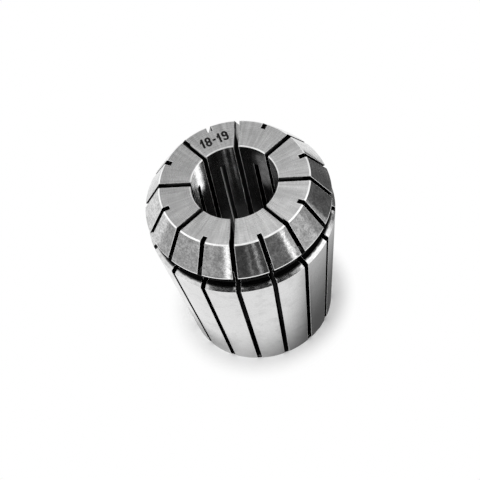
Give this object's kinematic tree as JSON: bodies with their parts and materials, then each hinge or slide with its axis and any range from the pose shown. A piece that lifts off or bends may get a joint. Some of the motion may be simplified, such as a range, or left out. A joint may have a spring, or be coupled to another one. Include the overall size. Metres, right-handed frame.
{
  "type": "spring collet",
  "caption": "Slotted steel spring collet with a straight bore, long outer cone, nose cone and extraction groove; it closes on a round shank when its nut pushes the nose.",
  "frame": {"origin": "middle of the small end face, on which the collet stands", "axes": "+Z along the bore axis, from the small end to the nose; one slot that is sawn from the nose faces -Y"},
  "size_m": [0.041, 0.041, 0.046],
  "materials": {
    "ground_steel": "hardened steel, ground and polished bright, with fine turning and grinding lines; the size numbers on the nose face are dark"
  },
  "bodies": {
    "root": {"collet": "ground_steel"}
  },
  "joints": []
}
